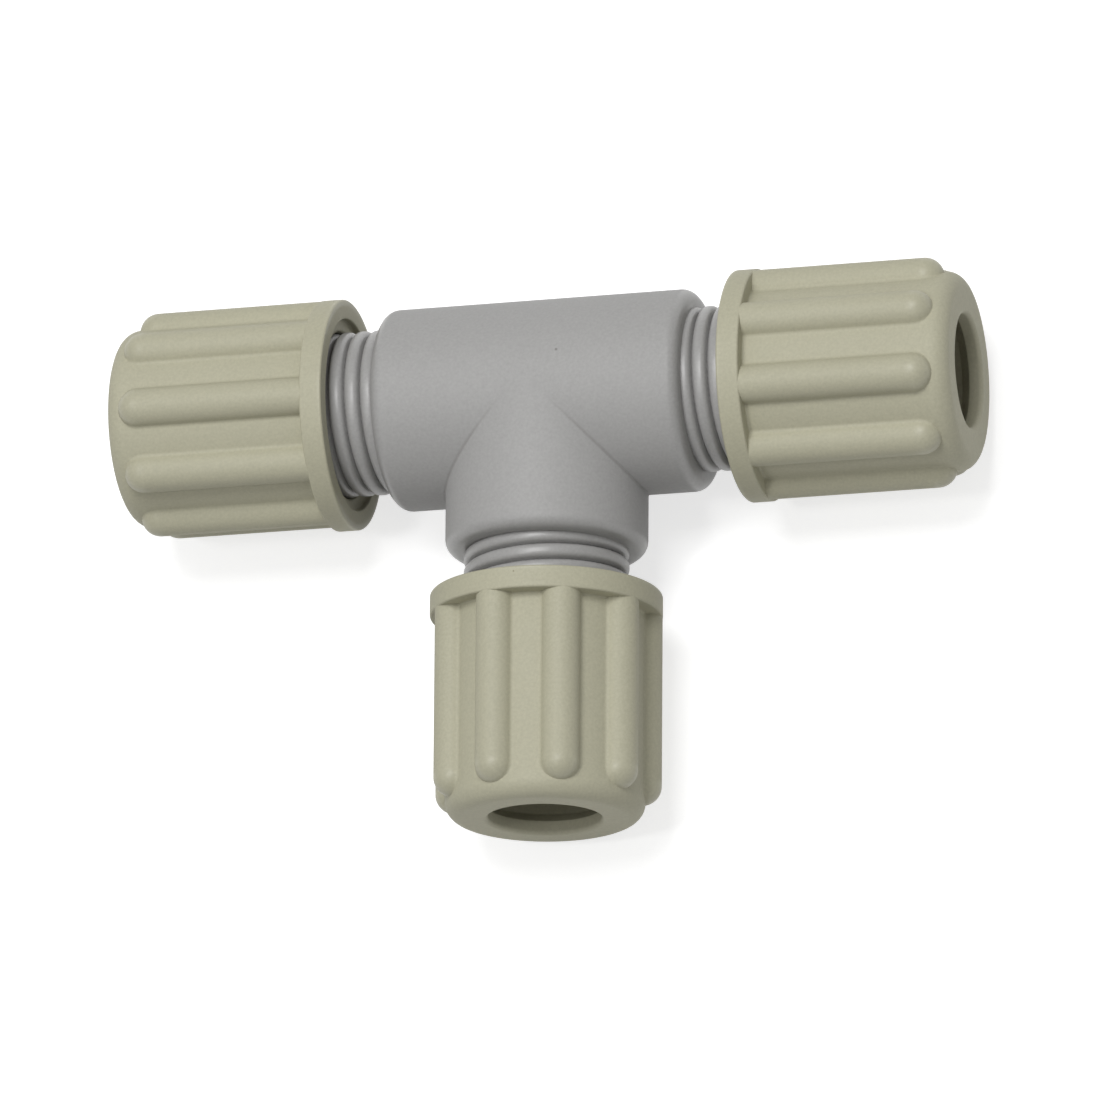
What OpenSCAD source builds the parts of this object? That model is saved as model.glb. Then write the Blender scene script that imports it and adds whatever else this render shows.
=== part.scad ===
// Hose tee with union nuts, in millimetres.
// A moulded tee body has three threaded arms. In each arm a barbed spigot takes the hose,
// and a ribbed nut pushes a split grip ring onto it.
// The run lies along X and the branch along -Y. Their axes cross at the origin, and +Z is up.
// The tee lies on the collars of its nuts.

/* [Tee body] */
// Outer diameter of the run and of the branch
body_d = 21.8; // [20.6:0.1:22.2]
// From the crossing of the axes to each shoulder
arm_l = 16.8; // [14:0.1:24]
// Rounding of each shoulder edge
shoulder_r = 1.5; // [0.5:0.1:1.6]
// Diameter of the way for the water
way_d = 7; // [5:0.1:7.4]

/* [Thread] */
// Crest diameter of the male threads
thread_d = 17.8; // [17.4:0.1:18.4]
// Pitch of the threads
pitch = 1.75; // [1:0.05:2.5]
// Length of each threaded arm, from its shoulder to its end face
thread_l = 13; // [11.5:0.5:17]
// Bevel at the free end of the threads
thread_lead = 0.8; // [0.3:0.1:1]
// Radial clearance between the threads and the nuts
thread_gap = 0.1; // [0.05:0.01:0.2]

/* [Hose] */
// Inner diameter of the hose
hose_id = 9; // [8.6:0.1:9.6]
// Outer diameter of the hose
hose_od = 12; // [11.4:0.1:12.4]
// Radial clearance round the hose
hose_gap = 0.1; // [0.1:0.05:0.4]

/* [Spigot] */
// Depth of the hose pocket round the spigot, from the end face of the arm
pocket_l = 7; // [4:0.5:10]
// How far the spigot stands out of the end face of the arm
spigot_l = 8; // [6:0.5:10]
// Number of barbs
barb_n = 4; // [2:1:5]
// Length of one barb
barb_l = 2; // [1.5:0.1:2.4]
// How far a barb stands out of the spigot
barb_h = 0.45; // [0.2:0.05:0.6]

/* [Union nuts] */
// Turns by which each nut is backed off its shoulder at rest
turns_out = 2.9; // [0.6:0.1:3.9]
// Length of a nut
nut_l = 24.8; // [24:0.1:32]
// Diameter of the collar
collar_d = 25; // [24.6:0.1:28]
// Width of the collar
collar_w = 2.8; // [2:0.1:5]
// Rounding of the edges of the collar
collar_r = 0.4; // [0.2:0.1:0.9]
// Diameter of the barrel between the ribs
barrel_d = 21.5; // [21.2:0.1:22.4]
// Rounding of the hose end of the barrel
barrel_r = 1.9; // [1:0.1:3]
// Diameter of the step inside the collar
step_d = 20.6; // [19:0.1:20.8]
// Depth of the step inside the collar
step_l = 1.2; // [0.5:0.1:2]
// Length of the mouth that guides the hose
mouth_l = 3.6; // [2.5:0.1:4.5]
// Bevel of the mouth
mouth_bevel = 0.8; // [0.3:0.1:1]

/* [Ribs of the nuts] */
// Number of ribs
rib_n = 9; // [6:1:12]
// Radius of a rib
rib_r = 2.1; // [1.6:0.05:2.4]
// How far the ribs stay below the collar
rib_drop = 0.05; // [0.05:0.05:1]
// From the rounded end of the ribs to the hose end of the nut
rib_end = 1.6; // [0.8:0.1:8]
// Turn of the left nut at rest, in degrees
left_turn = -4; // [-20:1:20]
// Turn of the branch nut at rest, in degrees
branch_turn = 16; // [-20:1:20]
// Turn of the right nut at rest, in degrees
right_turn = 16; // [-20:1:20]

/* [Grip rings] */
// From the start of the cone in the nut to the thick end of its grip ring
ring_back = 0.4; // [0.2:0.1:2]
// Wall of the grip ring at its thin end
ring_wall = 0.8; // [0.6:0.05:1]
// Clearance between a grip ring and the cone in its nut
ring_gap = 0.15; // [0.1:0.05:0.3]
// Width of the slit in a grip ring
ring_slit = 1.6; // [1:0.1:3]
// Number of teeth inside a grip ring
tooth_n = 3; // [1:1:4]
// Height of those teeth
tooth_h = 0.25; // [0.1:0.05:0.35]

/* [Hidden] */
$fn = 96;

// Turn about Z that brings an arm from the left to its own place
LEFT = 0;
BRANCH = 90;
RIGHT = 180;
// Enough to cut cleanly through a face
over = 1;

body_r = body_d / 2;
thread_r = thread_d / 2;
way_r = way_d / 2;
thread_end = arm_l + thread_l;
spigot_end = thread_end + spigot_l;
spigot_r = hose_id / 2;
pocket_r = hose_od / 2 + hose_gap;

// The nut's own zero is its open face, and its length runs towards the hose
back_off = turns_out * pitch;
nut_r = thread_r + thread_gap;
mouth_r = pocket_r;
// Past the end of the arm when the nut is tight
run_out = 1;
cone_start = thread_l + run_out;
cone_end = nut_l - mouth_l;
cone_slope = (nut_r - mouth_r) / (cone_end - cone_start);
rib_c = collar_d / 2 - rib_drop - rib_r;

// The grip ring follows the cone of its nut at ring_gap
ring_in = hose_od / 2 + hose_gap / 2;
ring_offset = ring_gap * sqrt(1 + cone_slope * cone_slope);
ring_thin_r = ring_in + ring_wall;
ring_end = cone_end - (ring_thin_r + ring_offset - mouth_r) / cone_slope;
ring_start = cone_start + ring_back;
ring_l = ring_end - ring_start;
ring_thick_r = ring_thin_r + ring_l * cone_slope;

// Stands what follows on an arm: Z points out along the arm, and X points up
module on_arm(turn) {
    rotate([0, -90, turn]) children();
}

// Half section of a round bar from the axis, with its far edge rounded
module bar_section(r, l, edge) {
    square([r - edge, l]);
    square([r, l - edge]);
    translate([r - edge, l - edge]) circle(edge);
}

// Half section of one barb: steep towards the body and sloping towards the tip
module barb_section() {
    polygon([[0, 0], [spigot_r + barb_h, 0], [spigot_r + barb_h, barb_l / 8], [spigot_r, barb_l], [0, barb_l]]);
}

// Half section of an arm, from the crossing of the axes to the tip of the spigot
module arm_section() {
    difference() {
        union() {
            bar_section(body_r, arm_l, shoulder_r);
            polygon([
                [0, 0], [thread_r, 0], [thread_r, thread_end - thread_lead],
                [thread_r - thread_lead, thread_end], [0, thread_end]
            ]);
        }
        translate([spigot_r, thread_end - pocket_l]) square([pocket_r - spigot_r, pocket_l + over]);
    }
    square([spigot_r, spigot_end - barb_l]);
    for (i = [1:barb_n]) translate([0, spigot_end - i * barb_l]) barb_section();
}

module arm(turn) {
    on_arm(turn) rotate_extrude() arm_section();
}

module tee_body() {
    color("#a3a29d") difference() {
        union() {
            arm(LEFT);
            arm(RIGHT);
            arm(BRANCH);
        }
        on_arm(LEFT) translate([0, 0, -spigot_end - over]) cylinder(h = 2 * (spigot_end + over), r = way_r);
        on_arm(BRANCH) cylinder(h = spigot_end + over, r = way_r);
    }
}

// Half section of the nut's hollow: step, thread bore, cone, mouth and its bevel
module nut_hollow_section() {
    polygon([
        [0, -over], [step_d / 2, -over], [step_d / 2, step_l],
        [nut_r, step_l + step_d / 2 - nut_r], [nut_r, cone_start], [mouth_r, cone_end],
        [mouth_r, nut_l - mouth_bevel], [mouth_r + mouth_bevel + over, nut_l + over], [0, nut_l + over]
    ]);
}

// Half section of the collar, rounded at both edges
module collar_section() {
    square([collar_d / 2 - collar_r, collar_w]);
    translate([0, collar_r]) square([collar_d / 2, collar_w - 2 * collar_r]);
    for (y = [collar_r, collar_w - collar_r]) translate([collar_d / 2 - collar_r, y]) circle(collar_r);
}

// A half-round rib with a round end, which starts inside the collar
module rib() {
    translate([rib_c, 0, collar_w / 2]) rotate_extrude() {
        straight_l = nut_l - rib_end - collar_w / 2 - rib_r;
        square([rib_r, straight_l]);
        translate([0, straight_l]) intersection() {
            circle(rib_r);
            square(rib_r);
        }
    }
}

module union_nut(turn, rib_turn) {
    color("#b1af95") on_arm(turn) translate([0, 0, arm_l + back_off]) rotate([0, 0, rib_turn]) difference() {
        union() {
            rotate_extrude() bar_section(barrel_d / 2, nut_l, barrel_r);
            rotate_extrude() collar_section();
            for (i = [0:rib_n - 1]) rotate([0, 0, i * 360 / rib_n]) rib();
        }
        rotate_extrude() nut_hollow_section();
    }
}

// Half section of the grip ring, with its teeth towards the hose
module ring_section() {
    tooth_l = ring_l / (tooth_n + 1);
    difference() {
        polygon([
            [ring_in - tooth_h, ring_start], [ring_thick_r, ring_start],
            [ring_thin_r, ring_end], [ring_in - tooth_h, ring_end]
        ]);
        for (i = [0:tooth_n]) translate([ring_in, ring_start + i * tooth_l])
            polygon([[-tooth_h - over, -over], [0, 0], [0, tooth_l * 0.25], [-tooth_h, tooth_l]]);
    }
}

module grip_ring(turn) {
    color("#e4e1d6") on_arm(turn) translate([0, 0, arm_l + back_off]) difference() {
        rotate_extrude() ring_section();
        translate([0, -ring_slit / 2, ring_start - over]) cube([thread_d, ring_slit, ring_l + 2 * over]);
    }
}

module left_grip_ring() { grip_ring(LEFT); }
module right_grip_ring() { grip_ring(RIGHT); }
module branch_grip_ring() { grip_ring(BRANCH); }
module left_nut() { union_nut(LEFT, left_turn); }
module right_nut() { union_nut(RIGHT, right_turn); }
module branch_nut() { union_nut(BRANCH, branch_turn); }

tee_body();
left_grip_ring();
right_grip_ring();
branch_grip_ring();
left_nut();
right_nut();
branch_nut();
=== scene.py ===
"""Hose tee with union nuts: the moulded tee, its threads, the ribbed nuts and a plain studio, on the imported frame."""

from math import atan2, ceil, cos, degrees, hypot, radians, sin, sqrt, tan, tau

import bmesh
import bpy
from mathutils import Matrix, Vector


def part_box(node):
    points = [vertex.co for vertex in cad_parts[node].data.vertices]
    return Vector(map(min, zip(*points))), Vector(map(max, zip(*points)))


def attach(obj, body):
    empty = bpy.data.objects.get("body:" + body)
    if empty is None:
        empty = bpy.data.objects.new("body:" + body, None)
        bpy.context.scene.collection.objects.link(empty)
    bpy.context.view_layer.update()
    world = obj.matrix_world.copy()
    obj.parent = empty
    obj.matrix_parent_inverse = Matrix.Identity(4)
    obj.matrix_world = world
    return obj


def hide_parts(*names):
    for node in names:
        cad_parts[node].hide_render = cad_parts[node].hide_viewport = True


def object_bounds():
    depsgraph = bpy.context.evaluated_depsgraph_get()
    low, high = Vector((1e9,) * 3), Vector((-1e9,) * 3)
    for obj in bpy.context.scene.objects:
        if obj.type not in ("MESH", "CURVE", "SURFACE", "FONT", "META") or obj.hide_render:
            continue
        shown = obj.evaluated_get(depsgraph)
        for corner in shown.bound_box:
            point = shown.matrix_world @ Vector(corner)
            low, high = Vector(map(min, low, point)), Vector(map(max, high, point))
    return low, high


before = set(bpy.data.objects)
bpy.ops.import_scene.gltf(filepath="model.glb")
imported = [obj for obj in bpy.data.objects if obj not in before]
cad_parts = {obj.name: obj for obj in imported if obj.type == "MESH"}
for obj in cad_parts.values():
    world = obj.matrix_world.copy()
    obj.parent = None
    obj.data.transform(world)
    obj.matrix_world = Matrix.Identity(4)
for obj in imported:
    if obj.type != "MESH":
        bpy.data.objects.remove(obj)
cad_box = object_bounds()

MM = 0.001
# How near to each other points are merged, in one piece and where the mitres meet, and how exact a cut is
MERGE = 0.0005 * MM
MITRE_MERGE = 0.002 * MM
CUT = 0.0001 * MM

# Each arm: its turn about Z from the left one, the turn of its nut, and the place along the arm,
# at the top, of a crest of its thread, as the photo shows it
ARMS = {
    "left": {"turn": 0, "nut_turn": -4, "crest": 17.86},
    "branch": {"turn": 90, "nut_turn": 16, "crest": 17.46},
    "right": {"turn": 180, "nut_turn": 16, "crest": 17.27},
}

# Sizes of the solids, from where they lie in the frame
TEE_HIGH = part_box("tee_body")[1]
NUT_LOW, NUT_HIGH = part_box("right_nut")
BODY_R = TEE_HIGH.z / MM
TIP = TEE_HIGH.x / MM
NUT_FACE = NUT_LOW.x / MM
NUT_L = (NUT_HIGH.x - NUT_LOW.x) / MM
FLOOR_Z = cad_box[0].z

# The tee, in millimetres along an arm. The crease between the arms starts CREASE_START from the middle. It is
# rounded by CREASE_FADE at the top of the run, which falls to CREASE_R at CREASE_REACH from the middle.
SHOULDER = 17.1
SHOULDER_BEND = 1.4
CREASE_R = 0.12
CREASE_FADE = 0.8
CREASE_REACH = 8
CREASE_START = 0.4
WAY_R = 3.5
ARM_END = 29.8
POCKET_R = 6.1
POCKET_FOOT = 22.8
SPIGOT_R = 4.5
BARBS = 4
BARB_L = 2
BARB_H = 0.45
BARB_EDGE = 0.1
BARB_FOOT = 0.05
TIP_EDGE = 0.15
MOULDED_EDGE = 0.25
POCKET_EDGE = 0.4
ROOT_EDGE = 0.1

# The threads: crests and roots of the arm's ridge and of the nut's, then half the width of each ridge at its foot
# and at its crest with the rounding of its crest, how deep it is sunk in its piece, and where the tee's starts
PITCH = 1.75
CREST_R = 8.9
ROOT_R = 8
NUT_BORE_R = 9
NUT_RIDGE_R = 8.6
ARM_RIDGE = (0.87, 0.58, 0.56)
NUT_RIDGE = (0.4, 0.1, 0.08)
RIDGE_SUNK = 0.3
THREAD_START = SHOULDER - 0.5
ARM_BEVEL = 0.8

# A nut, in millimetres from its open face. Its inner ridge is trimmed by a sleeve with sloping ends.
COLLAR_R = 12.5
COLLAR_W = 2.45
COLLAR_EDGE = 0.25
COLLAR_SLOPE = 0.06
BARREL_R = 10.75
BARREL_EDGE = 1.9
STEP_R = 10.4
STEP_L = 0.75
THREAD_LEAD = 2.5
THREAD_STOP = 12
SLEEVE_IN = 7
SLEEVE_OUT = 9.6
CONE_START = 14
CONE_END = 22.2
CONE_END_R = 7.5
LIP_L = 1.5
MOUTH_R = 6.1
MOUTH_EDGE = 0.5
RIBS = 9
RIB_R = 2.1
RIB_C = 10.37
RIB_END = 1.6
RIB_FLARE = 0.5
RIB_SUNK = 0.8
NUT_FINE_EDGE = 0.2
STEP_EDGE = 0.15
BORE_EDGE = 0.35
CONE_END_EDGE = 0.3
CONE_BEND = 1

BODY_COLUMNS = 136
NUT_COLUMNS = 180
RIB_COLUMNS = 64
THREAD_COLUMNS = 80


# Selecting and finishing

def select_only(piece):
    bpy.ops.object.select_all(action="DESELECT")
    piece.select_set(True)
    bpy.context.view_layer.objects.active = piece


def edit(piece):
    """Opens a piece with nothing in it selected."""
    select_only(piece)
    bpy.ops.object.mode_set(mode="EDIT")
    bpy.ops.mesh.select_mode(type="VERT")
    bpy.ops.mesh.select_all(action="DESELECT")


def close():
    bpy.ops.object.mode_set(mode="OBJECT")


def pick_edges(piece, wanted):
    """Selects the edges of an open piece that the test wants, and nothing else."""
    bpy.ops.mesh.select_mode(type="EDGE")
    bpy.ops.mesh.select_all(action="DESELECT")
    mesh = bmesh.from_edit_mesh(piece.data)
    for edge in mesh.edges:
        if wanted(edge):
            edge.select_set(True)
    mesh.select_flush_mode()
    bmesh.update_edit_mesh(piece.data)


def modified(piece, kind, **settings):
    """Gives a piece a modifier and applies it."""
    select_only(piece)
    modifier = piece.modifiers.new(kind.title(), kind)
    for name, value in settings.items():
        setattr(modifier, name, value)
    bpy.ops.object.modifier_apply(modifier=modifier.name)
    return piece


def joined(piece, other, operation="UNION"):
    """Adds the other piece to this one, or keeps what they share, and removes the other."""
    modified(piece, "BOOLEAN", operation=operation, solver="MANIFOLD", object=other)
    bpy.data.objects.remove(other)
    return piece


def copied(piece, name):
    twin = piece.copy()
    twin.data = piece.data.copy()
    twin.name = name
    bpy.context.scene.collection.objects.link(twin)
    return twin


def on_arm(piece, arm, out=0, about=0):
    """Puts a piece that points along Z on an arm: out along it, and turned about it in degrees."""
    stand = Matrix.Rotation(radians(ARMS[arm]["turn"]), 4, "Z") @ Matrix.Rotation(radians(-90), 4, "Y")
    piece.matrix_world = stand @ Matrix.Translation((0, 0, out * MM)) @ Matrix.Rotation(radians(about), 4, "Z")
    select_only(piece)
    bpy.ops.object.transform_apply(location=True, rotation=True, scale=True)
    return piece


# Turned shapes

def rounded(corners, step=15):
    """Outline through corners (radius, place along the axis, bend), with each corner rounded to its bend."""
    path = []
    for i, corner in enumerate(corners):
        here = Vector(corner[:2])
        bend = corner[2] if len(corner) > 2 else 0
        if not bend:
            path.append(here)
            continue
        into = (here - Vector(corners[i - 1][:2])).normalized()
        out = (Vector(corners[(i + 1) % len(corners)][:2]) - here).normalized()
        turn = atan2(into.x * out.y - into.y * out.x, into.dot(out))
        start = here - into * bend * tan(abs(turn) / 2)
        side = Vector((-into.y, into.x)) * (bend if turn > 0 else -bend)
        count = max(2, ceil(abs(degrees(turn)) / step))
        for k in range(count + 1):
            a = turn * k / count
            spoke = Vector((-side.x * cos(a) + side.y * sin(a), -side.x * sin(a) - side.y * cos(a)))
            path.append(start + side + spoke)
    return path


def drawn(name, path):
    """A line through the path's points in the XZ plane, extruded from point to point and left open in edit mode."""
    points = [Vector((p[0] * MM, 0, p[1] * MM)) for p in path]
    bpy.ops.object.select_all(action="DESELECT")
    bpy.ops.mesh.primitive_plane_add(size=MM)
    line = bpy.context.object
    line.name = name
    edit(line)
    bpy.ops.mesh.select_all(action="SELECT")
    bpy.ops.mesh.merge(type="CENTER")
    bpy.ops.transform.translate(value=points[0])
    for here, after in zip(points, points[1:]):
        bpy.ops.mesh.extrude_vertices_move(TRANSFORM_OT_translate={"value": after - here})
    return line


def turned(name, path, columns):
    """A piece turned round the Z axis from the outline of its half."""
    piece = drawn(name, path)
    bpy.ops.mesh.select_all(action="SELECT")
    bpy.ops.mesh.spin(steps=columns, angle=tau, center=(0, 0, 0), axis=(0, 0, 1), use_auto_merge=True)
    bpy.ops.mesh.select_all(action="SELECT")
    bpy.ops.mesh.remove_doubles(threshold=MERGE)
    bpy.ops.mesh.normals_make_consistent(inside=False)
    close()
    return piece


def thread_ridge(name, foot_r, crest_r, crest, low, high):
    """A helical ridge between two places on the Z axis, with a crest at one place where the outline is drawn."""
    outer = crest_r > foot_r
    sunk_r = foot_r - RIDGE_SUNK if outer else foot_r + RIDGE_SUNK
    foot, flat, bend = ARM_RIDGE if outer else NUT_RIDGE
    first = crest - PITCH * ceil((crest - low) / PITCH + 1)
    turns = ceil((high - first) / PITCH) + 1
    ridge = drawn(name, rounded([
        (sunk_r, first - foot), (foot_r, first - foot), (crest_r, first - flat, bend),
        (crest_r, first + flat, bend), (foot_r, first + foot), (sunk_r, first + foot), (sunk_r, first - foot),
    ], step=20))
    bpy.ops.mesh.select_all(action="SELECT")
    bpy.ops.mesh.remove_doubles(threshold=MERGE)
    close()
    modified(
        ridge, "SCREW", axis="Z", steps=THREAD_COLUMNS, render_steps=THREAD_COLUMNS,
        iterations=turns, screw_offset=PITCH * MM, use_merge_vertices=False,
    )
    middle = (first + turns * PITCH / 2) * MM
    edit(ridge)
    for below in (True, False):
        pick_edges(ridge, lambda e: e.is_boundary and (e.verts[0].co.z < middle) == below)
        bpy.ops.mesh.edge_face_add()
    bpy.ops.mesh.select_all(action="SELECT")
    bpy.ops.mesh.normals_make_consistent(inside=False)
    close()
    return ridge


# The tee

def arm_outline():
    """Half outline of an arm: from the way at the crossing to the tip, and back along the outside."""
    corners = [(WAY_R, 0), (WAY_R, TIP, MOULDED_EDGE), (SPIGOT_R, TIP, TIP_EDGE)]
    for i in range(BARBS):
        foot = TIP - (i + 1) * BARB_L
        corners += [
            (SPIGOT_R + BARB_H, foot + BARB_L / 8, BARB_EDGE), (SPIGOT_R + BARB_H, foot, BARB_FOOT),
            (SPIGOT_R, foot, BARB_FOOT),
        ]
    corners += [
        (SPIGOT_R, POCKET_FOOT, POCKET_EDGE), (POCKET_R, POCKET_FOOT, POCKET_EDGE), (POCKET_R, ARM_END, MOULDED_EDGE),
        (ROOT_R - ROOT_EDGE, ARM_END), (ROOT_R, ARM_END - ROOT_EDGE), (ROOT_R, SHOULDER),
        (BODY_R, SHOULDER, SHOULDER_BEND), (BODY_R, 0),
    ]
    return rounded(corners)


def on_crease(edge):
    """Whether an edge lies where the outside of the branch meets the outside of the run."""
    for vertex in edge.verts:
        x, y, z = vertex.co / MM
        off_mitre = abs(abs(x) + y) > 0.01
        inside = hypot(y, z) < BODY_R - 0.1
        if off_mitre or inside or y > -CREASE_START:
            return False
    return True


def tee():
    """One arm is turned, three copies are mitred where their axes cross, and each gets its thread."""
    arm = turned("arm", arm_outline(), BODY_COLUMNS)
    mitres = {"left": [(-1, 1, 0)], "right": [(1, 1, 0)], "branch": [(1, -1, 0), (-1, -1, 0)]}
    arms = []
    for side, planes in mitres.items():
        part = on_arm(copied(arm, "moulded_tee" if side == "left" else f"{side}_arm"), side)
        edit(part)
        for plane in planes:
            bpy.ops.mesh.select_all(action="SELECT")
            bpy.ops.mesh.bisect(
                plane_co=(0, 0, 0), plane_no=plane, clear_inner=True, use_fill=False, threshold=CUT
            )
        close()
        arms.append(part)
    bpy.data.objects.remove(arm)
    body = arms[0]
    select_only(body)
    for part in arms:
        part.select_set(True)
    bpy.ops.object.join()
    edit(body)
    bpy.ops.mesh.select_all(action="SELECT")
    bpy.ops.mesh.remove_doubles(threshold=MITRE_MERGE)
    bpy.ops.mesh.normals_make_consistent(inside=False)
    pick_edges(body, on_crease)
    mesh = bmesh.from_edit_mesh(body.data)
    share = mesh.edges.layers.float.new("bevel_weight_edge")
    for edge in mesh.edges:
        if edge.select:
            middle = (edge.verts[0].co + edge.verts[1].co) / 2 / MM
            fade = max(0, 1 - hypot(middle.x, middle.y) / CREASE_REACH) ** 1.5
            edge[share] = (CREASE_R + (CREASE_FADE - CREASE_R) * fade) / CREASE_FADE
    close()
    modified(body, "BEVEL", width=CREASE_FADE * MM, segments=4, limit_method="WEIGHT", use_clamp_overlap=False)
    for side, facts in ARMS.items():
        ridge = thread_ridge(f"{side}_arm_thread", ROOT_R, CREST_R, facts["crest"], THREAD_START, ARM_END)
        sleeve = turned("sleeve", [
            (ROOT_R - 1, THREAD_START), (CREST_R + 1, THREAD_START), (CREST_R + 1, ARM_END - ARM_BEVEL - 1),
            (CREST_R - ARM_BEVEL - 0.02, ARM_END - 0.02), (ROOT_R - 1, ARM_END - 0.02), (ROOT_R - 1, THREAD_START),
        ], BODY_COLUMNS)
        joined(body, on_arm(joined(ridge, sleeve, "INTERSECT"), side))
    return body


# The union nuts

def nut_outline():
    """Half outline of a nut: its collar and barrel from the open face on, and back through its hollow."""
    outline = rounded([
        (COLLAR_R, 0, COLLAR_EDGE), (COLLAR_R, COLLAR_W, COLLAR_EDGE),
        (BARREL_R, COLLAR_W + COLLAR_SLOPE, COLLAR_EDGE), (BARREL_R, NUT_L, BARREL_EDGE),
        (MOUTH_R, NUT_L, MOUTH_EDGE), (MOUTH_R, NUT_L - LIP_L, NUT_FINE_EDGE),
        (CONE_END_R, CONE_END, CONE_END_EDGE), (NUT_BORE_R, CONE_START, CONE_BEND),
        (NUT_BORE_R, STEP_L, BORE_EDGE), (STEP_R, STEP_L, NUT_FINE_EDGE), (STEP_R, 0, STEP_EDGE),
    ], step=10)
    return outline + [outline[0]]


def arc(x, y, r, start, end, count):
    """Points of an arc round (x, y), between two angles in degrees."""
    angles = [radians(start + (end - start) * k / count) for k in range(count + 1)]
    return [(x + r * cos(a), y + r * sin(a)) for a in angles]


def rib_outline():
    """Half outline across a rib: its crest, its side, the flare onto the barrel, and its foot sunk in the barrel."""
    reach = BARREL_R + RIB_FLARE
    height = (reach ** 2 - (RIB_R + RIB_FLARE) ** 2 + RIB_C ** 2) / (2 * RIB_C)
    across = sqrt(reach ** 2 - height ** 2)
    lean = degrees(atan2(height - RIB_C, across))
    side = arc(0, RIB_C, RIB_R, 90, lean, 14)
    flare = arc(across, height, RIB_FLARE, 180 + lean, 180 + degrees(atan2(height, across)), 6)
    x, y = flare[-1]
    sunk = [(x + 0.1, y - 0.05), (x + 0.1, y - RIB_SUNK), (0, y - RIB_SUNK)]
    return side + flare[1:] + sunk


def ribs():
    """The ribs of a nut. Each is half of a round button that is drawn out towards the collar."""
    end = (NUT_L - RIB_END - RIB_R) * MM
    rib = turned("ribs", rib_outline(), RIB_COLUMNS)
    rib.matrix_world = Matrix.Translation((0, 0, end)) @ Matrix.Rotation(radians(90), 4, "Y")
    select_only(rib)
    bpy.ops.object.transform_apply(location=True, rotation=True, scale=True)
    edit(rib)
    bpy.ops.mesh.select_all(action="SELECT")
    bpy.ops.mesh.bisect(
        plane_co=(0, 0, end), plane_no=(0, 0, 1), clear_inner=True, use_fill=False, threshold=CUT
    )
    pick_edges(rib, lambda e: e.is_boundary)
    bpy.ops.mesh.extrude_edges_move(TRANSFORM_OT_translate={"value": (0, 0, COLLAR_W / 2 * MM - end)})
    bpy.ops.mesh.edge_face_add()
    bpy.ops.mesh.select_all(action="SELECT")
    bpy.ops.mesh.normals_make_consistent(inside=False)
    close()
    copies = [copied(rib, "rib") for _ in range(RIBS - 1)]
    for i, other in enumerate(copies, 1):
        other.matrix_world = Matrix.Rotation(tau * i / RIBS, 4, "Z")
    select_only(rib)
    for other in copies:
        other.select_set(True)
    bpy.ops.object.join()
    return rib


def union_nut():
    """The nut that all three are copied from: turned, with its ribs joined on."""
    return joined(turned("nut", nut_outline(), NUT_COLUMNS), ribs())


def threaded(nut, side):
    """Gives a nut on its arm the inner ridge that runs in the arm's thread."""
    crest = ARMS[side]["crest"] + PITCH / 2
    ridge = thread_ridge(f"{side}_nut_thread", NUT_BORE_R, NUT_RIDGE_R, crest, NUT_FACE + 2, NUT_FACE + 13)
    start, stop = NUT_FACE + THREAD_LEAD, NUT_FACE + THREAD_STOP
    sleeve = turned("sleeve", [
        (SLEEVE_IN, start + 2), (SLEEVE_OUT, start - 0.6), (SLEEVE_OUT, stop + 1.6), (SLEEVE_IN, stop),
        (SLEEVE_IN, start + 2),
    ], BODY_COLUMNS)
    return joined(nut, on_arm(joined(ridge, sleeve, "INTERSECT"), side))


# Finishes

# Noises, in waves per metre: the colour's clouds and grain, the skin's bumps and swells, and patches of gloss
CLOUDS = 70
GRAIN = 3200
GRAIN_SHARE = 0.8
BUMPS = 2600
SWELLS = 420
SWELL_SHARE = 0.65
BUMP_DEPTH = 0.12 * MM
BUMP_STRENGTH = 0.12
GLOSS_PATCHES = 900
GLOSS_CHANGE = 0.1
# Specks: cells per metre, the share of cells that have one, its radius in cells, and how dark it is
SPECK_CELLS = 260.0
SPECK_SHARE = 0.07
SPECK_R = 0.045
SPECK_DEPTH = 0.55
# Half the width of the painted shade line along the crease between the arms, how far from the middle it begins and is
# at its darkest, and how softly a polished zone begins, in millimetres
PAINTED_SHADE_WIDE = 0.35
PAINTED_SHADE_START = 2
PAINTED_SHADE_FULL = 6
ZONE_FADE = 0.3


class Value:
    """A node's output in a finish. Operators on it add Math nodes, also where a number stands on the left."""

    def __init__(self, finish, socket):
        self.finish = finish
        self.socket = socket

    def maths(self, operation, *values):
        return self.finish.node("Math", {"operation": operation}, *values)

    def __add__(self, other):
        return self.maths("ADD", self, other)

    __radd__ = __add__

    def __sub__(self, other):
        return self.maths("SUBTRACT", self, other)

    def __rsub__(self, other):
        return self.maths("SUBTRACT", other, self)

    def __mul__(self, other):
        return self.maths("MULTIPLY", self, other)

    __rmul__ = __mul__

    def over(self, limit):
        return self.maths("GREATER_THAN", self, limit)

    def under(self, limit):
        return self.maths("LESS_THAN", self, limit)


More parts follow.
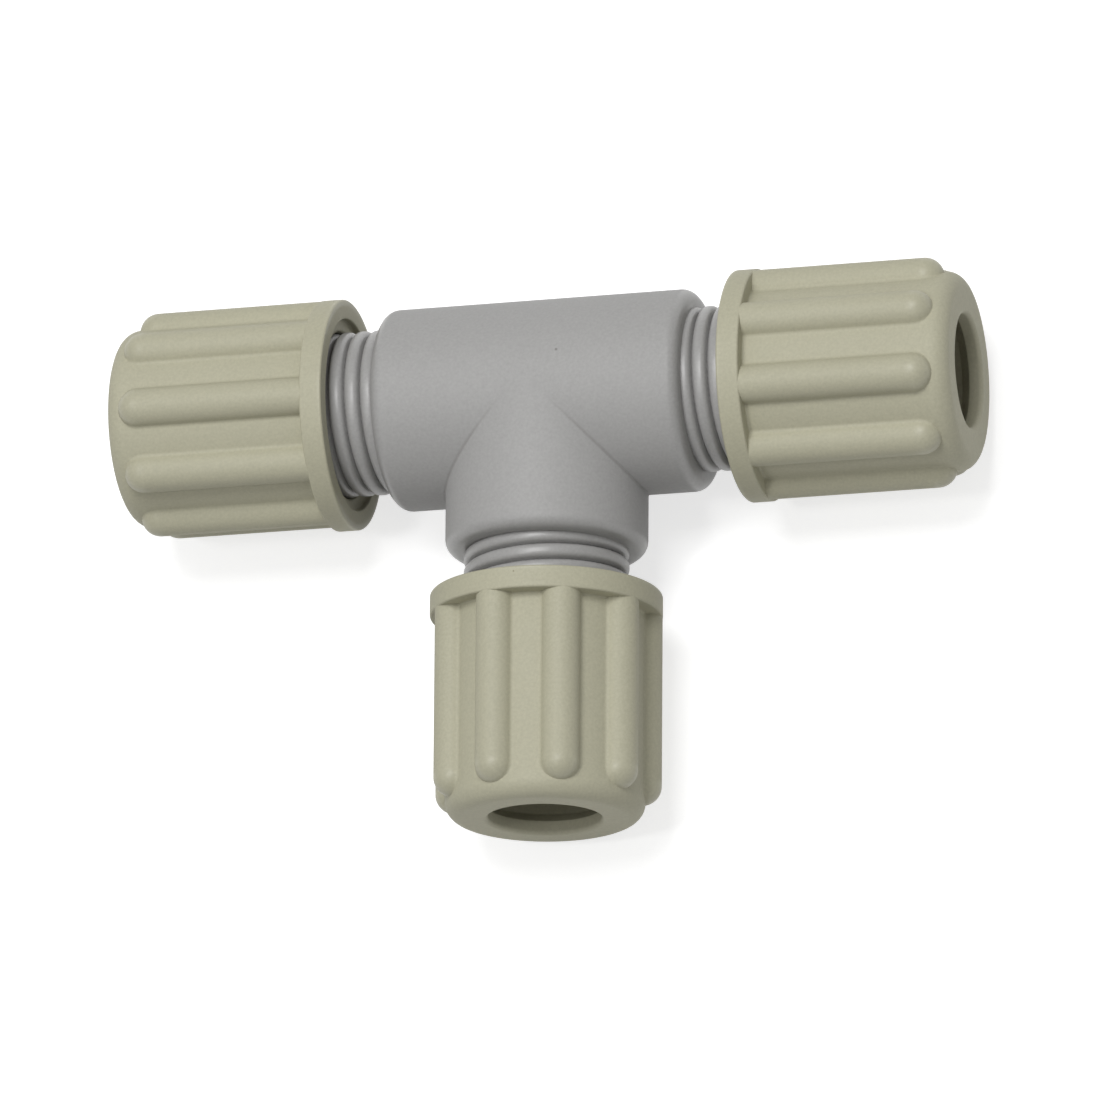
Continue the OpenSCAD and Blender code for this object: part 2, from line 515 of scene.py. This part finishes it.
class Finish:
    """A material with its nodes."""

    def __init__(self, name, roughness):
        self.material = bpy.data.materials.new(name)
        self.material.use_nodes = True
        self.nodes = self.material.node_tree.nodes
        self.links = self.material.node_tree.links
        self.shader = self.nodes["Principled BSDF"]
        self.shader.inputs["Roughness"].default_value = roughness
        self.place = self.node("TexCoord", {}, output="Object")

    def set(self, socket, value):
        if isinstance(value, Value):
            self.links.new(value.socket, socket)
        else:
            socket.default_value = value

    def node(self, kind, settings, *values, output=0, **named):
        """A node of this kind, with its settings, then the values or links of its sockets."""
        node = self.nodes.new("ShaderNode" + kind)
        for name, value in settings.items():
            setattr(node, name, value)
        for socket, value in zip(node.inputs, values):
            self.set(socket, value)
        for name, value in named.items():
            self.set(node.inputs[name], value)
        return Value(self, node.outputs[output])

    def noise(self, scale, detail=2, roughness=0.5):
        return self.node("TexNoise", {}, Vector=self.place, Scale=scale, Detail=detail, Roughness=roughness)

    def between(self, share, low, high):
        """A colour between two, by a share of 0 to 1."""
        colour = self.node("Mix", {"data_type": "RGBA"}, share, output=2)
        for place, value in ((6, low), (7, high)):
            self.set(colour.socket.node.inputs[place], value)
        return colour

    def set_inputs(self, **sockets):
        for name, value in sockets.items():
            self.set(self.shader.inputs[name.replace("_", " ")], value)


def moulded(name, light, dark, speck_and_shade, matt, polished, zones, painted_crease_shade=0):
    """Moulded plastic: flow clouds, fine grain and rare dark specks, painted shade along the crease, and a matt skin
    that is polished in some zones.

    A zone has two distances along the arms, where the matt skin ends and where the polish starts, and the
    radius past which it lies, all in millimetres. The last argument is how dark the shade painted along the crease
    between the arms is.
    """
    finish = Finish(name, matt)
    # Clouds and grain
    share = finish.noise(CLOUDS, 3) * (1 - GRAIN_SHARE) + finish.noise(GRAIN, 2, 0.6) * GRAIN_SHARE
    colour = finish.between(share, dark, light)
    # A speck in the middle of a few cells, chosen by their colour
    cells = {"feature": "F1", "distance": "EUCLIDEAN"}
    near = finish.node("TexVoronoi", cells, Vector=finish.place, Scale=SPECK_CELLS, output="Distance")
    chance = finish.node("TexVoronoi", cells, Vector=finish.place, Scale=SPECK_CELLS, output="Color")
    chosen = finish.node("SeparateColor", {}, chance, output="Red").over(1 - SPECK_SHARE)
    colour = finish.between(near.under(SPECK_R) * chosen * SPECK_DEPTH, colour, speck_and_shade)
    # Where on its arm a point lies: along it, across it in the plane of the axes, and its distance from the axis
    x, y, z = [finish.node("SeparateXYZ", {}, finish.place, output=axis) for axis in "XYZ"]
    along = x.maths("MAXIMUM", x.maths("ABSOLUTE", x), y * -1)
    across = x.maths("MINIMUM", x.maths("ABSOLUTE", x), y.maths("ABSOLUTE", y))
    radius = z.maths("SQRT", z * z + across * across)
    gloss = 0
    for start, end, least in zones:
        rise = finish.node("MapRange", {}, along, start * MM, end * MM, 0.0, 1.0)
        outer = finish.node("MapRange", {}, radius, (least - ZONE_FADE) * MM, least * MM, 0.0, 1.0)
        gloss = rise * outer + gloss
    # Painted shade: the specks' dark colour laid in a thin line along the crease, strongest towards the crotch where
    # the concave corner is in shade
    if painted_crease_shade:
        off = x.maths("ABSOLUTE", x.maths("ABSOLUTE", x) + y)
        line = finish.node("MapRange", {}, off, 0.0, PAINTED_SHADE_WIDE * MM, 1.0, 0.0)
        outward = finish.node("MapRange", {}, across, PAINTED_SHADE_START * MM, PAINTED_SHADE_FULL * MM, 0.0, 1.0)
        colour = finish.between(line * outward * painted_crease_shade, colour, speck_and_shade)
    # The moulded skin's fine bumps and uneven gloss
    height = finish.noise(BUMPS, 2, 0.6) * (1 - SWELL_SHARE) + finish.noise(SWELLS, 1) * SWELL_SHARE
    normal = finish.node("Bump", {}, Strength=BUMP_STRENGTH, Distance=BUMP_DEPTH, Height=height)
    skin = finish.noise(GLOSS_PATCHES, 2) * GLOSS_CHANGE + (matt - GLOSS_CHANGE / 2)
    roughness = skin - gloss * (matt - polished)
    finish.set_inputs(Base_Color=colour, Roughness=roughness, Normal=normal)
    return finish.material


# The body plastic carries the painted shade along the crease; the specks' dark colour is also the colour of that
# painted shade
BODY_PLASTIC = moulded(
    "body_plastic", light=(0.41, 0.406, 0.399, 1), dark=(0.288, 0.285, 0.28, 1), speck_and_shade=(0.12, 0.11, 0.1, 1),
    matt=0.62, polished=0.36, zones=[(15.9, 16.3, 8.3)], painted_crease_shade=0.4,
)
NUT_PLASTIC = moulded(
    "nut_plastic", light=(0.496, 0.48, 0.355, 1), dark=(0.352, 0.34, 0.25, 1), speck_and_shade=(0.16, 0.14, 0.08, 1),
    matt=0.64, polished=0.46, zones=[(22.4, 22.1, 12), (42.4, 43, 11.2)],
)
RING_PLASTIC = moulded(
    "ring_plastic", light=(0.7, 0.68, 0.61, 1), dark=(0.6, 0.58, 0.51, 1), speck_and_shade=(0.4, 0.36, 0.3, 1),
    matt=0.42, polished=0.34, zones=[(42, 43, 6)],
)


def studio_paper(name, colour, white):
    """Pale paper that is seen lighter than it lights the tee, so that its shadows stay faint."""
    finish = Finish(name, 0.9)
    rays = ("Camera", "Glossy", "Transmission")
    seen = sum(finish.node("LightPath", {}, output=f"Is {ray} Ray") for ray in rays)
    finish.set_inputs(Base_Color=colour, Emission_Color=finish.between(seen, (0, 0, 0, 1), (white, white, white, 1)))
    finish.shader.inputs["Emission Strength"].default_value = 1
    return finish.material


# Putting the tee together

def finished(piece, material, body, node):
    """Smooths a piece, gives it its material, and lets it stand for its node on its body."""
    select_only(piece)
    bpy.ops.object.shade_smooth_by_angle(angle=radians(32))
    modified(piece, "WEIGHTED_NORMAL", mode="FACE_AREA", weight=50, keep_sharp=True)
    piece.data.materials.clear()
    piece.data.materials.append(material)
    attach(piece, body)
    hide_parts(node)


finished(tee(), BODY_PLASTIC, "tee", "tee_body")
master = union_nut()
for side, facts in ARMS.items():
    nut = on_arm(copied(master, f"{side}_union_nut"), side, out=NUT_FACE, about=facts["nut_turn"])
    finished(threaded(nut, side), NUT_PLASTIC, f"{side}_union", f"{side}_nut")
    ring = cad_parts[f"{side}_grip_ring"]
    ring.data.materials.clear()
    ring.data.materials.append(RING_PLASTIC)
bpy.data.objects.remove(master)

# The camera, from the fit to the photo's outlines: a long lens that looks down on the tee from the front right
FOCAL_PIXELS = 15027.6
PHOTO_PIXELS = 1100
bpy.ops.object.camera_add(location=(413.257 * MM, -463.566 * MM, 1492.866 * MM))
camera = bpy.context.object
right = Vector((0.964306, 0.006708, -0.264704))
down = Vector((-0.067158, -0.960796, -0.269001))
forward = Vector((-0.256131, 0.277177, -0.926051))
camera.matrix_world = Matrix.Translation(camera.location) @ Matrix((right, -down, -forward)).transposed().to_4x4()
camera.data.sensor_width = 36
camera.data.lens = FOCAL_PIXELS / PHOTO_PIXELS * camera.data.sensor_width
camera.data.clip_end = 10
bpy.context.scene.camera = camera

# The studio: a pale floor under the collars, an even sky, a broad lamp high above and a little behind the tee,
# and a small one at the front left
bpy.ops.object.select_all(action="DESELECT")
bpy.ops.mesh.primitive_plane_add(size=6, location=(0, 0, FLOOR_Z))
floor = bpy.context.object
floor.name = "floor"
floor.data.materials.append(studio_paper("pale_floor", colour=(0.6, 0.6, 0.6, 1), white=0.68))

bpy.context.scene.world = bpy.data.worlds.new("studio")
world = bpy.context.scene.world
world.use_nodes = True
sky = world.node_tree.nodes["Background"]
sky.inputs["Color"].default_value = (1, 1, 1, 1)
sky.inputs["Strength"].default_value = 0.36


def lamp(name, place, size, watts):
    """A square lamp that faces the tee."""
    bpy.ops.object.light_add(type="AREA", location=place)
    light = bpy.context.object
    light.name = name
    light.data.size = size
    light.data.energy = watts
    light.matrix_world = Matrix.Translation(place) @ Vector(place).to_track_quat("Z", "Y").to_matrix().to_4x4()


lamp("key_lamp", place=(-0.02, 0.27, 1.15), size=0.5, watts=8.5)
lamp("small_lamp", place=(-0.3, -0.24, 1.14), size=0.14, watts=1.7)
bpy.context.scene.view_settings.view_transform = "Standard"
